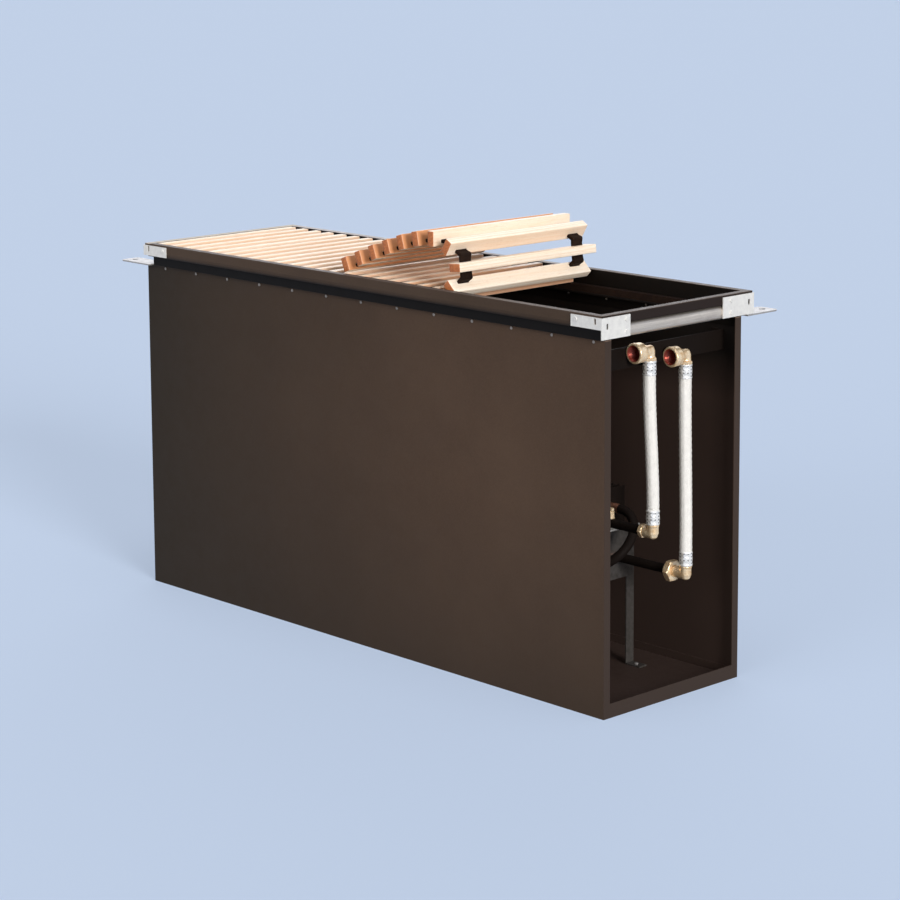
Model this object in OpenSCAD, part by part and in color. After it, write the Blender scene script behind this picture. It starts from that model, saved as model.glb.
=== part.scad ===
// Deep trench convector: a folded steel casing, open at the water connection end,
// with a rim frame, a roll-up slatted grille, a finned heat exchanger and two
// braided connection hoses. Ten slats at the connection end are rolled back.
// Origin: centre of the casing's underside. +X: connection end. +Z: up.

/* [Casing] */
// Length of the casing
casing_l = 900; // [800:10:1200]
// Width of the casing
casing_w = 250; // [230:5:300]
// Height of the casing without the frame
casing_h = 470; // [430:5:560]
// Thickness of the casing's sheet steel
sheet_t = 1.5; // [1:0.25:2]
// Width of the return flanges beside the open end
flange_w = 11; // [9:1:16]
// Height of the lip below the open end
lip_h = 18; // [14:1:22]
// Distance between the rivets along the top edge
rivet_pitch = 70; // [50:5:100]

/* [Frame] */
// How far the frame hangs over each long side
frame_over = 13; // [12:1:16]
// Height of the rim above the casing
rim_h = 32; // [30:1:36]
// Width of the rim's flat top
rim_w = 10; // [9:1:12]
// Thickness of the frame's steel
frame_t = 1.6; // [1.2:0.2:2]
// Height of the outer lip
lip_drop = 19; // [16:1:20]
// Shift of the frame towards the connection end
frame_shift = 9; // [6:1:9]
// Width of the anchor lugs
lug_w = 31; // [25:1:32]
// Reach of the anchor lugs past the frame
lug_reach = 59; // [45:1:80]
// Radius of the hole in each anchor lug
lug_hole_r = 4.5; // [3:0.5:6]

/* [Grille] */
// Thickness of a slat, along the casing
slat_t = 11.5; // [8:0.5:12]
// Height of a slat
slat_h = 20; // [18:1:20]
// Distance from slat to slat
slat_pitch = 28.7; // [28:0.1:30]
// Width of the two rubber belts
belt_w = 18; // [14:1:22]
// Thickness of the belts
belt_t = 4; // [3:0.5:4]
// Distance from a slat's end to the middle of the belt
belt_inset = 23; // [18:1:40]

/* [Heat exchanger] */
// Length of the finned block
fins_l = 700; // [600:10:700]
// Width of the fins
fins_w = 118; // [110:2:140]
// Height of the fins
fins_h = 112; // [100:2:130]
// Distance from fin to fin
fin_pitch = 10; // [8:1:16]
// Outer radius of the water tubes
tube_r = 6; // [5.5:0.25:6.5]

/* [Water connections] */
// Outer radius of the braided hoses
hose_r = 8.1; // [7:0.1:8.1]
// Inner radius of the sockets, for a half inch connection
socket_r = 9.3; // [9.2:0.05:9.5]
// Depth of the sockets
socket_l = 13; // [10:1:14]
// Radius of the vent screw
vent_r = 2.5; // [2:0.1:3]

/* [Hidden] */

$fn = 48;
EPS = 0.01;
BIG = 400; // larger than any cross-section that a cut has to cover

PAINT = [0.23, 0.19, 0.16];
BLACK = [0.1, 0.1, 0.1];
ZINC = [0.86, 0.86, 0.84];
BEECH = [0.93, 0.76, 0.55];
RUBBER = [0.07, 0.07, 0.07];
BRASS = [0.83, 0.62, 0.27];
COPPER = [0.72, 0.42, 0.26];
BRAID = [0.9, 0.9, 0.9];

// Casing planes
x_end = casing_l / 2;
y_wall = casing_w / 2;
y_in = y_wall - sheet_t; // inner face of the long walls
x_in = x_end - sheet_t;
end_fold = 15; // folds that join the end panel and the floor to the walls

// Frame planes
frame_y = y_wall + frame_over;
frame_x0 = -x_end + 2 + frame_shift;
frame_x1 = x_end - 2 + frame_shift;
rim_z = casing_h + rim_h;
web_u = rim_w - frame_t; // outer face of the rail's inner wall, from the rail's outer face
base_t = 2; // the rail's foot, which carries the grille
base_u = 26; // how far the foot reaches in
skirt_h = 14; // tongue that drops inside the casing
skirt_u = frame_over + sheet_t;
foot_reach_y = 92; // half length of the left rail's foot past its lip
lip_curl = [[0, 7], [1.2, 3.2], [3.4, 0]]; // the lip's folded lower edge: inwards and up
crossbar_up = 1.5; // from the casing's top edge to the crossbar
crossbar_h = 18.5;
crossbar_r = 10; // rounding of the crossbar's face
crossbar_t = 6.4;
crossbar_y = 129;

// Rivets and screws
rivet_r = 1.5;
rivet_head_r = 2;
rivet_x = 12; // place of the middle rivet
rivet_z = casing_h - 3.5;
rivet_count = floor((casing_l - 60) / rivet_pitch) + 1;
screw_r = 2;
screw_head_r = 2.8;
screw_head_h = 1;
screw_l = 6;
screw_slot = 0.4; // depth of the slot in a screw head

// Corner brackets
bracket_t = 1.5;
bracket_leg = 50;
bracket_long_leg = 59; // across the end at the rear right corner
bracket_top = rim_z - 2.5;
bracket_low = rim_z - 17;
bracket_end_low = casing_h + 3; // the legs beside the open end also hold the crossbar
slot_side = [10, rim_z - 7.5, 8]; // a slot's distance from the corner, middle and height
slot_end = [8.3, rim_z - 13.4, 7.5];
slot_w = 3.2;
screw_in = 42; // from the frame's corner to the bracket screws
screw_z = rim_z - 8;
bar_screw_z = casing_h + 9;

// Anchor lugs
lug_t = 2;
lug_tab_h = 20;
lug_tab_w = 18;

// Grille
slat_l = casing_w;
grille_x0 = frame_x0 + rim_w;
grille_x1 = frame_x1 - rim_w;
slat_count = floor((grille_x1 - grille_x0 - slat_t - 2) / slat_pitch) + 1;
rolled = 10;
flat_count = slat_count - rolled;
slat_x0 = (grille_x0 + grille_x1 - (slat_count - 1) * slat_pitch) / 2; // centre of the first slat
slat_top = rim_z - 0.5;
belt_rise = 4; // the belts run this far above the middle of a slat
belt_z = slat_top - slat_h / 2 + belt_rise;
belt_y = slat_l / 2 - belt_inset;
knuckle_gap = 4.4; // from a belt link's full width to its bending line
knuckle_clear = 0.3;
strip_clear = 0.1; // between the slats and the rubber strips
// Bend of the rolled stretch at each gap, in degrees
bends = [45, 50, 54, 30.8, 12, 5, 2, 2, 1, 0.5];

// Heat exchanger
exch_y = 8.5;
exch_z = 182;
tube_dy = 62;
tube_dz = 64;
fin_t = 0.6;
fins_x1 = 315;
fins_x0 = fins_x1 - fins_l;
tube_wall = 1;
tube_past = 6; // tubes reach this far past the stands
stand_t = 2;
stand_margin = 6; // stands are this much larger than the fins, sideways and below
stand_top = exch_z + 8; // the stands hold the lower tubes
stand_fold = 12; // flange along a stand's top
stand_leg_w = 14;
stand_foot = 25;
stand_foot_t = 2;
stand_w = fins_w + 2 * stand_margin;
// Tube places seen from the connection end, and the order in which the water runs
low_right = [exch_y + tube_dy / 2, exch_z - tube_dz / 2];
high_right = [exch_y + tube_dy / 2, exch_z + tube_dz / 2];
low_left = [exch_y - tube_dy / 2, exch_z - tube_dz / 2];
high_left = [exch_y - tube_dy / 2, exch_z + tube_dz / 2];

// Water connections
hose_x = 436;
elbow_r = 7;
lower_elbow_r = 7.7;
elbow_bore = 5;
elbow_leg = 11;
ferrule_r = 8.6;
ferrule_l = 18;
groove_d = 0.3; // depth of the crimped grooves
hose_bore = 4.5;
// Height of the upper elbows, and sideways offset of each hose between its two ends
short_top_z = 444;
long_top_z = 431;
short_lean = 8;
long_lean = 3.6;
upper_leg = 12; // from the upper elbow's axis to its ferrule
collar_h = 4;
collar_af = 15;
socket_wall = 3.7;
socket_reach = 29;
stud_r = 5;
bracket_x = 421;
bracket_h = 26;
bracket_z = (short_top_z + long_top_z) / 2;
bracket_tab = 18;
stud_nut_h = 5;
short_nut = [16, 6, 16]; // distance behind the elbow's axis, length and width over flats
long_nut = [23, 9, 25];
vent_x = 365;
vent_body_r = 5;
vent_body_h = 9;
vent_clear = 0.06;

function reach(list, k) = k < 0 ? 0 : list[k] + reach(list, k - 1);
// Direction of rolled link k, from 1, as seen from the first bending line
function turn(k) = reach(bends, k - 1);
function along(k) = [cos(turn(k)), 0, sin(turn(k))];
// Bending line k: 0 lies halfway between the last flat slat and the first rolled one
function bend_line(k) = k == 0
  ? [slat_x0 + (flat_count - 0.5) * slat_pitch, 0, belt_z]
  : bend_line(k - 1) + slat_pitch * along(k);

// ---- helpers ----

module rod(r, l, fn = 48) { cylinder(r = r, h = l, $fn = fn); }
module rod_x(r, l) { rotate([0, 90, 0]) rod(r, l); }
module rod_y(r, l) { rotate([-90, 0, 0]) rod(r, l); }

module hex(af, h) { cylinder(d = af / cos(30), h = h, $fn = 6); }

// Pan-head rivet along +Z, its head on z = 0, clamping a stack of the given depth
module rivet(depth) {
  rod(rivet_head_r, 1, 24);
  translate([0, 0, -depth]) rod(rivet_r, depth + 0.5, 24);
  translate([0, 0, -depth - 1]) rod(rivet_head_r - 0.4, 1, 24);
}

// Pan-head screw along +Z, its head on z = 0
module screw(l = screw_l) {
  difference() {
    union() {
      rod(screw_head_r, screw_head_h, 32);
      translate([0, 0, -l]) rod(screw_r, l + 0.5, 32);
    }
    translate([0, 0, screw_head_h - screw_slot + 1])
      cube([0.8, 2 * screw_head_r - 1.6, 2], center = true);
  }
}

module each_rivet() {
  for (i = [0 : rivet_count - 1])
    translate([rivet_x + (i - (rivet_count - 1) / 2) * rivet_pitch, 0, rivet_z]) children();
}

// ---- casing ----

module long_wall() {
  difference() {
    union() {
      translate([-x_end, -y_wall, 0]) cube([casing_l, sheet_t, casing_h]);
      translate([x_in, -y_wall, 0]) cube([sheet_t, flange_w, casing_h]);
    }
    each_rivet() translate([0, -y_wall - 1, 0]) rod_y(rivet_r, sheet_t + 2);
  }
}

module casing_front_panel() { color(PAINT) long_wall(); }

module casing_rear_panel() { color(PAINT) mirror([0, 1, 0]) long_wall(); }

module casing_floor() {
  lip_y = y_wall - flange_w;
  color(PAINT) difference() {
    union() {
      translate([-x_in, -y_in, 0]) cube([2 * x_in, 2 * y_in, sheet_t]);
      translate([x_in - EPS, -lip_y, 0]) cube([sheet_t + EPS, 2 * lip_y, lip_h]);
      for (s = [0, 1]) mirror([0, s, 0])
        translate([-x_in + end_fold, -y_in, 0]) cube([2 * x_in - end_fold, sheet_t, 12]);
    }
    each_stand_screw() translate([0, 0, -1]) rod(screw_r, sheet_t + 2, 32);
  }
}

module casing_end_panel() {
  color(PAINT) {
    translate([-x_end, -y_in, 0]) cube([sheet_t, 2 * y_in, casing_h]);
    for (s = [0, 1]) mirror([0, s, 0])
      translate([-x_end, -y_in, sheet_t])
        cube([sheet_t + end_fold, sheet_t, casing_h - skirt_h - 4]);
  }
}

// ---- frame ----

// Section of a rail: x runs in from its outer face, y up from the casing's top edge.
// A curled lip folds in at its lower edge.
module rail_section(lip_low, curled, skirt) {
  low = [0, lip_low];
  polygon(concat(
    curled ? [low + lip_curl[2], low + lip_curl[1], low + lip_curl[0]] : [low],
    [[0, rim_h], [rim_w, rim_h], [rim_w, base_t], [base_u, base_t], [base_u, 0]],
    skirt ? [[skirt_u + frame_t, 0], [skirt_u + frame_t, -skirt_h],
      [skirt_u, -skirt_h], [skirt_u, 0]] : [],
    [[web_u, 0], [web_u, rim_h - frame_t], [frame_t, rim_h - frame_t]],
    curled ? [low + lip_curl[0] + frame_t * [1, 0.15], low + lip_curl[1] + frame_t * [0.91, 0.44],
      low + lip_curl[2] + frame_t * [0.82, 0.57]] : [[frame_t, lip_low]]));
}

// Mitred region of a rail in plan, for a rail of length l whose outer face is y = 0
module mitre(l) {
  translate([0, 0, -skirt_h - 1]) linear_extrude(rim_h + skirt_h + 2)
    polygon([[0, 0], [l, 0], [l - base_u - 2, base_u + 2], [base_u + 2, base_u + 2]]);
}

// Rail of length l along +X, its outer face on y = 0, the casing's top edge at z = 0
module rail(l, lip_low, curled, skirt) {
  intersection() {
    rotate([90, 0, 90]) linear_extrude(l) rail_section(lip_low, curled, skirt);
    mitre(l);
  }
}

module long_rail() {
  difference() {
    translate([frame_x0, -frame_y, casing_h])
      rail(frame_x1 - frame_x0, rim_h - lip_drop, true, true);
    each_rivet() translate([0, -y_wall, 0]) rod_y(rivet_r, 6);
    for (x = [frame_x0 + screw_in, frame_x1 - screw_in])
      translate([x, -frame_y - 1, screw_z]) rod_y(screw_r, frame_t + 2);
  }
}

module frame_front_rail() { color(PAINT) long_rail(); }

module frame_rear_rail() {
  color(PAINT) difference() {
    mirror([0, 1, 0]) long_rail();
    lug_right_place() lug_screw_hole();
  }
}

// Rail across the closed end. Its foot also covers the end panel's top edge.
module frame_left_rail() {
  color(PAINT) difference() {
    union() {
      translate([frame_x0, frame_y, casing_h]) rotate([0, 0, -90])
        rail(2 * frame_y, rim_h - lip_drop, true, false);
      translate([-x_end, -foot_reach_y, casing_h])
        cube([frame_x0 + x_end + web_u + 1, 2 * foot_reach_y, base_t]);
    }
    for (s = [-1, 1]) translate([frame_x0 - 1, s * (frame_y - screw_in), screw_z])
      rod_x(screw_r, frame_t + 2);
    lug_left_place() lug_screw_hole();
  }
}

// Rail across the connection end. Its lip ends above the crossbar.
module frame_right_rail() {
  color(PAINT) difference() {
    translate([frame_x1, -frame_y, casing_h]) rotate([0, 0, 90])
      rail(2 * frame_y, crossbar_up + crossbar_h, false, false);
    for (s = [-1, 1]) translate([frame_x1 - frame_t - 1, s * (frame_y - screw_in), screw_z])
      rod_x(screw_r, frame_t + 2);
  }
}

module frame_rivets() {
  color(ZINC) for (s = [0, 1]) mirror([0, s, 0])
    each_rivet() translate([0, -y_wall, 0]) rotate([90, 0, 0]) rivet(sheet_t + frame_t);
}

// Bright bar below the right rail, between the casing's two walls
module end_crossbar() {
  color(ZINC) difference() {
    intersection() {
      translate([frame_x1 - crossbar_r, -crossbar_y, casing_h + crossbar_up + crossbar_h / 2])
        rod_y(crossbar_r, 2 * crossbar_y);
      translate([frame_x1 - crossbar_t, -crossbar_y, casing_h + crossbar_up])
        cube([BIG, 2 * crossbar_y, crossbar_h]);
    }
    for (s = [-1, 1]) translate([frame_x1 - 6, s * (frame_y - screw_in), bar_screw_z])
      rod_x(screw_r, 8);
  }
}

// Oblong hole through y = 0, upright, of width w and height h
module slot_y(w, h) {
  translate([0, -5, 0]) {
    for (s = [-1, 1]) translate([0, 0, s * (h - w) / 2]) rod_y(w / 2, 10);
    translate([-w / 2, 0, -(h - w) / 2]) cube([w, 10, h - w]);
  }
}

// Folded bracket round a corner of the frame, seen at the front right corner.
// low is the lower edge of the leg across the end, and leg its length.
module corner_bracket(low, bar_screw, leg = bracket_leg) {
  color(ZINC) difference() {
    union() {
      translate([frame_x1 - bracket_leg, -frame_y - bracket_t, bracket_low])
        cube([bracket_leg + bracket_t, bracket_t, bracket_top - bracket_low]);
      translate([frame_x1, -frame_y - bracket_t, low])
        cube([bracket_t, leg, bracket_top - low]);
    }
    translate([frame_x1 - screw_in, -frame_y - 3, screw_z]) rod_y(screw_r, 6);
    translate([frame_x1 - 2, -frame_y + screw_in, screw_z]) rod_x(screw_r, 6);
    if (bar_screw)
      translate([frame_x1 - 2, -frame_y + screw_in, bar_screw_z]) rod_x(screw_r, 6);
    translate([frame_x1 - slot_side[0], -frame_y, slot_side[1]]) slot_y(slot_w, slot_side[2]);
    translate([frame_x1, -frame_y + slot_end[0], slot_end[1]]) rotate([0, 0, 90])
      slot_y(slot_w, slot_end[2]);
  }
}

// Moves a shape from the right end of the frame to the left end
module to_left_end() { translate([2 * frame_shift, 0, 0]) mirror([1, 0, 0]) children(); }

module corner_bracket_front_right() { corner_bracket(bracket_end_low, true); }

module corner_bracket_rear_right() {
  mirror([0, 1, 0]) corner_bracket(bracket_end_low, true, bracket_long_leg);
}

module corner_bracket_front_left() { to_left_end() corner_bracket(bracket_low, false); }

module corner_bracket_rear_left() {
  to_left_end() mirror([0, 1, 0]) corner_bracket(bracket_low, false);
}

// Bracket screws of one corner, seen at the front right
module corner_screws(bar_screw) {
  translate([frame_x1 - screw_in, -frame_y - bracket_t, screw_z]) rotate([90, 0, 0]) screw();
  translate([frame_x1 + bracket_t, -frame_y + screw_in, screw_z]) rotate([0, 90, 0]) screw();
  if (bar_screw)
    translate([frame_x1 + bracket_t, -frame_y + screw_in, bar_screw_z])
      rotate([0, 90, 0]) screw();
}

module frame_screws() {
  color(ZINC) {
    for (s = [0, 1]) mirror([0, s, 0]) {
      corner_screws(true);
      to_left_end() corner_screws(false);
    }
    lug_left_place() lug_screw();
    lug_right_place() lug_screw();
  }
}

// Anchor lug: its tab lies on the rail's wall at y = 0, its plate reaches out to -y.
// side is the direction in which the plate is wider than the tab.
lug_screw_z = 16;
lug_screw_l = 4;

module lug_plate(reach_y, x0, x1) {
  tip_r = 6;
  difference() {
    union() {
      translate([x0, -reach_y + tip_r, 0]) cube([x1 - x0, reach_y - tip_r, lug_t]);
      for (x = [x0 + tip_r, x1 - tip_r]) translate([x, -reach_y + tip_r, 0]) rod(tip_r, lug_t);
      translate([x0 + tip_r, -reach_y, 0]) cube([x1 - x0 - 2 * tip_r, tip_r, lug_t]);
      translate([-lug_tab_w / 2, -lug_t, 0]) cube([lug_tab_w, lug_t, lug_tab_h]);
    }
    translate([(x0 + x1) / 2, -reach_y + 14, -1]) rod(lug_hole_r, lug_t + 2);
    translate([0, -lug_t - 1, lug_screw_z]) rod_y(screw_r, lug_t + 2);
  }
}

module lug_screw() { translate([0, -lug_t, lug_screw_z]) rotate([90, 0, 0]) screw(lug_screw_l); }
module lug_screw_hole() { translate([0, -lug_t - 1, lug_screw_z]) rod_y(screw_r, lug_t + 4); }

lug_tab_at = frame_y - lug_w + lug_tab_w / 2; // middle of the left lug's tab, from the centre line
lug_tab_right = frame_x1 - lug_w + lug_tab_w / 2;

module lug_left_place() {
  translate([frame_x0 + web_u, -lug_tab_at, casing_h]) rotate([0, 0, -90]) children();
}
module lug_right_place() {
  translate([lug_tab_right, frame_y - web_u, casing_h]) rotate([0, 0, 180]) children();
}

module anchor_lug_left() {
  color(ZINC) lug_left_place()
    lug_plate(web_u + lug_reach, -lug_tab_w / 2, lug_w - lug_tab_w / 2);
}

module anchor_lug_right() {
  color(ZINC) lug_right_place()
    lug_plate(web_u + lug_reach - 7, lug_tab_w / 2 - lug_w, lug_tab_w / 2);
}

module support_strips() {
  strip_z = casing_h + base_t;
  color(RUBBER) for (s = [0, 1]) mirror([0, s, 0])
    translate([grille_x0 + 1, -y_wall, strip_z])
      cube([grille_x1 - grille_x0 - 2, 8, slat_top - slat_h - strip_clear - strip_z]);
}

// ---- grille ----

// Slat with its belt slots. The origin is on the belt line, in the middle of the slat.
module slat() {
  difference() {
    translate([0, 0, -belt_rise]) cube([slat_t, slat_l, slat_h], center = true);
    for (s = [-1, 1]) translate([0, s * belt_y, 0])
      cube([slat_t + 2, belt_w, belt_t], center = true);
  }
}

module flat_slats() {
  color(BEECH) for (i = [0 : flat_count - 1])
    translate([slat_x0 + i * slat_pitch, 0, belt_z]) slat();
}

finger_w = (belt_w - 2 * knuckle_clear) / 3;

// Fingers of a belt at a bending line on x = 0, joined to the belt on its -x side.
// The middle one belongs to the belt before the line, the outer two to the link after it.
module fingers(places) {
  for (p = places) translate([0, p * (finger_w + knuckle_clear), 0]) {
    translate([-knuckle_gap - EPS, -finger_w / 2, -belt_t / 2])
      cube([knuckle_gap + EPS, finger_w, belt_t]);
    translate([0, -finger_w / 2, 0]) rod_y(belt_t / 2, finger_w);
  }
}

module belt_link(last) {
  half = slat_pitch / 2 - knuckle_gap;
  end = last ? slat_t / 2 : half; // the belt ends in the last slat
  for (s = [-1, 1]) translate([0, s * belt_y, 0]) {
    translate([-half, -belt_w / 2, -belt_t / 2]) cube([half + end, belt_w, belt_t]);
    translate([-slat_pitch / 2, 0, 0]) rotate([0, 0, 180]) fingers([-1, 1]);
    if (!last) translate([slat_pitch / 2, 0, 0]) fingers([0]);
  }
}

module flat_belt(side) {
  x0 = slat_x0 - slat_t / 2;
  x1 = bend_line(0)[0];
  color(RUBBER) translate([0, side * belt_y, belt_z]) {
    translate([x0, -belt_w / 2, -belt_t / 2]) cube([x1 - knuckle_gap - x0, belt_w, belt_t]);
    translate([x1, 0, 0]) fingers([0]);
  }
}

module belt_front() { flat_belt(-1); }
module belt_rear() { flat_belt(1); }

// Places a shape on rolled link k
module on_link(k) {
  translate((bend_line(k - 1) + bend_line(k)) / 2)
    rotate([0, -turn(k), 0]) children();
}

module rolled_slat(k) { color(BEECH) on_link(k) slat(); }
module rolled_belt(k) { color(RUBBER) on_link(k) belt_link(k == rolled); }

// ---- heat exchanger ----

module at_tube(place) { translate([0, place[0], place[1]]) children(); }

module each_tube() {
  for (p = [low_right, high_right, low_left, high_left]) at_tube(p) children();
}

module fin_block() {
  count = floor((fins_l - fin_t) / fin_pitch) + 1;
  color(BLACK) for (i = [0 : count - 1])
    translate([fins_x0 + i * fin_pitch, 0, 0]) difference() {
      translate([0, exch_y - fins_w / 2, exch_z - fins_h / 2]) cube([fin_t, fins_w, fins_h]);
      each_tube() translate([-1, 0, 0]) rod_x(tube_r, 3);
    }
}

tubes_x0 = fins_x0 - stand_t - tube_past;
tubes_x1 = fins_x1 + stand_t + tube_past;

module water_tubes() {
  color(COPPER) difference() {
    each_tube() translate([tubes_x0, 0, 0]) rod_x(tube_r, tubes_x1 - tubes_x0);
    each_tube() translate([tubes_x0 - 1, 0, 0]) rod_x(tube_r - tube_wall, tubes_x1 - tubes_x0 + 2);
  }
}

// Half ring of tube from place a to place b, bulging towards +X
module bend(a, b) {
  mid = (a + b) / 2;
  d = (b - a) / 2;
  translate([0, mid[0], mid[1]]) rotate([atan2(d[1], d[0]), 0, 0])
    rotate([0, 0, -90]) rotate_extrude(angle = 180, $fn = 96) translate([norm(d), 0])
      difference() {
        circle(tube_r);
        circle(tube_r - tube_wall);
      }
}

module return_bends() {
  color(BLACK) {
    translate([tubes_x1, 0, 0]) bend(low_left, high_right);
    translate([tubes_x0, 0, 0]) mirror([1, 0, 0]) {
      bend(low_right, high_right);
      bend(low_left, high_left);
    }
  }
}

module each_stand_screw() {
  for (x = [fins_x0 - stand_t - stand_foot / 2 + 1, fins_x1 + stand_foot / 2 + 1],
       s = [-1, 1])
    translate([x, exch_y + s * (stand_w - stand_leg_w) / 2, 0]) children();
}

// Cradle of the lower tubes with two legs, its inner face on x = 0 and its feet to +X
module stand() {
  z0 = sheet_t;
  plate_z = exch_z - fins_h / 2 - stand_margin;
  difference() {
    union() {
      translate([0, exch_y - stand_w / 2, plate_z])
        cube([stand_t, stand_w, stand_top - plate_z]);
      translate([0, exch_y - stand_w / 2, stand_top - stand_t])
        cube([stand_fold, stand_w, stand_t]);
      for (s = [-1, 1]) translate([0, exch_y + s * (stand_w - stand_leg_w) / 2, 0]) {
        translate([0, -stand_leg_w / 2, z0]) cube([stand_t, stand_leg_w, exch_z - z0]);
        translate([0, -stand_leg_w / 2, z0]) cube([stand_foot, stand_leg_w, stand_foot_t]);
      }
    }
    each_tube() translate([-1, 0, 0]) rod_x(tube_r, stand_t + 2);
    translate([stand_foot / 2 + 1, 0, 0]) for (s = [-1, 1])
      translate([0, exch_y + s * (stand_w - stand_leg_w) / 2, 0]) rod(screw_r, 10, 32);
  }
}

module exchanger_stand_near() { color(ZINC) translate([fins_x1, 0, 0]) stand(); }

module exchanger_stand_far() {
  color(ZINC) translate([fins_x0, 0, 0]) mirror([1, 0, 0]) stand();
}

module stand_screws() {
  color(ZINC) each_stand_screw() translate([0, 0, sheet_t + stand_foot_t])
    screw(sheet_t + stand_foot_t - 0.5);
}

// ---- water connections ----

module tail(place, nut) {
  x1 = hose_x - nut[0] + nut[1] / 2;
  at_tube(place) translate([tubes_x1, 0, 0]) difference() {
    rod_x(tube_r, x1 - tubes_x1);
    translate([-1, 0, 0]) rod_x(tube_r - tube_wall, x1 - tubes_x1 + 2);
  }
}

module tail_pipes() {
  color(BLACK) difference() {
    union() {
      tail(high_left, short_nut);
      tail(low_right, long_nut);
    }
    vent_place() rod(1.2, tube_r + 1);
  }
}

module vent_place() { at_tube(high_left) translate([vent_x, 0, 0]) children(); }

module vent_body() {
  color(BRASS) vent_place() difference() {
    rod(vent_body_r, tube_r + vent_body_h);
    translate([-20, 0, 0]) rod_x(tube_r, 40);
    rod(vent_r + vent_clear, tube_r + vent_body_h + 1);
  }
}

module vent_screw() {
  color(BRASS) vent_place() translate([0, 0, tube_r + 2]) {
    rod(vent_r, vent_body_h);
    translate([0, 0, vent_body_h - 2 + 0.3]) hex(7, 4);
  }
}

module union_nut(place, nut) {
  at_tube(place) translate([hose_x - nut[0] - nut[1] / 2, 0, 0]) difference() {
    rotate([0, 90, 0]) hex(nut[2], nut[1]);
    translate([-1, 0, 0]) rod_x(tube_r, nut[1] + 2);
  }
}

module union_nuts() {
  color(BRASS) {
    union_nut(high_left, short_nut);
    union_nut(low_right, long_nut);
  }
}

// Elbow from the tail pipe behind it up into the hose
module lower_elbow(place, nut) {
  back = nut[0] - nut[1] / 2;
  translate([hose_x, place[0], place[1]]) difference() {
    union() {
      sphere(lower_elbow_r);
      translate([-back, 0, 0]) rod_x(lower_elbow_r, back);
      rod(lower_elbow_r, elbow_leg);
    }
    sphere(elbow_bore);
    translate([-back - 1, 0, 0]) rod_x(elbow_bore, back + 1);
    rod(elbow_bore, elbow_leg + 1);
  }
}

module lower_elbows() {
  color(BRASS) {
    lower_elbow(high_left, short_nut);
    lower_elbow(low_right, long_nut);
  }
}

// Ends of a hose: y and z of the lower one, y and z of the upper one
short_hose = [high_left[0], high_left[1] + elbow_leg,
  high_left[0] - short_lean, short_top_z - upper_leg];
long_hose = [low_right[0], low_right[1] + elbow_leg,
  low_right[0] - long_lean, long_top_z - upper_leg];

// Crimped sleeve with three grooves
module ferrule() {
  difference() {
    rod(ferrule_r, ferrule_l);
    translate([0, 0, -1]) rod(hose_r, ferrule_l + 2);
    for (i = [1 : 3]) translate([0, 0, i * ferrule_l / 4 - 0.6]) difference() {
      rod(ferrule_r + 1, 1.2);
      translate([0, 0, -1]) rod(ferrule_r - groove_d, 4);
    }
  }
}

module hose_ferrules() {
  color(ZINC) for (h = [short_hose, long_hose]) {
    translate([hose_x, h[0], h[1]]) ferrule();
    translate([hose_x, h[2], h[3] - ferrule_l]) ferrule();
  }
}

// A hose leans between its straight ends, filled here to radius r.
// past is how far the filling runs out of both ends.
module hose_core(h, r, past) {
  z0 = h[1] + ferrule_l;
  z1 = h[3] - ferrule_l;
  shift = h[0] - h[2];
  sunk = 1; // the leaning stretch starts this far inside the straight ones
  translate([0, h[0], h[1] - past]) rod(r, ferrule_l + past);
  translate([0, h[0], z0]) rotate([atan(shift / (z1 - z0)), 0, 0]) translate([0, 0, -sunk])
    rod(r - 0.1, norm([shift, z1 - z0]) + 2 * sunk);
  translate([0, h[2], z1]) rod(r, ferrule_l + past);
}

module hose(h) {
  color(BRAID) translate([hose_x, 0, 0]) difference() {
    hose_core(h, hose_r, 0);
    hose_core(h, hose_bore, 1);
  }
}

module hose_short() { hose(short_hose); }
module hose_long() { hose(long_hose); }

// Hexagon that seats on the ferrule below the upper elbow
module collar_nut() {
  difference() {
    hex(collar_af, collar_h);
    translate([0, 0, -1]) rod(elbow_bore, collar_h + 2);
  }
}

module each_upper() {
  translate([hose_x, short_hose[2], short_top_z]) children();
  translate([hose_x, long_hose[2], long_top_z]) children();
}

module collar_nuts() { color(BRASS) each_upper() translate([0, 0, -upper_leg]) collar_nut(); }

// Elbow with its socket to -Y, its leg down and a threaded stud to the bracket behind it
module upper_elbow() {
  leg = upper_leg - collar_h;
  mouth = socket_reach;
  stud_l = hose_x - bracket_x + stud_nut_h + 2;
  difference() {
    union() {
      sphere(elbow_r);
      translate([0, 0, -leg]) rod(elbow_r, leg);
      rotate([180, 0, 0]) rod_y(elbow_r, mouth - socket_l);
      translate([0, -mouth, 0]) rod_y(socket_r + socket_wall, socket_l + 1);
      translate([-stud_l, 0, 0]) rod_x(stud_r, stud_l);
      translate([bracket_x + 2 - hose_x, 0, 0]) rod_x(elbow_r - 1, hose_x - bracket_x - 2);
    }
    sphere(elbow_bore);
    translate([0, 0, -leg - 1]) rod(elbow_bore, leg + 1);
    rotate([180, 0, 0]) rod_y(elbow_bore, mouth);
    translate([0, -mouth - 1, 0]) rod_y(socket_r, socket_l + 1);
  }
}

module upper_elbows() { color(BRASS) each_upper() upper_elbow(); }

module connection_bracket() {
  color(BLACK) difference() {
    union() {
      translate([bracket_x, -y_in, bracket_z - bracket_h / 2]) cube([2, 2 * y_in, bracket_h]);
      for (s = [0, 1]) mirror([0, s, 0])
        translate([bracket_x - bracket_tab, -y_in, bracket_z - bracket_h / 2])
          cube([bracket_tab + 2, 2, bracket_h]);
    }
    each_upper() translate([bracket_x - 1 - hose_x, 0, 0]) rod_x(stud_r, 4);
  }
}

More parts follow.
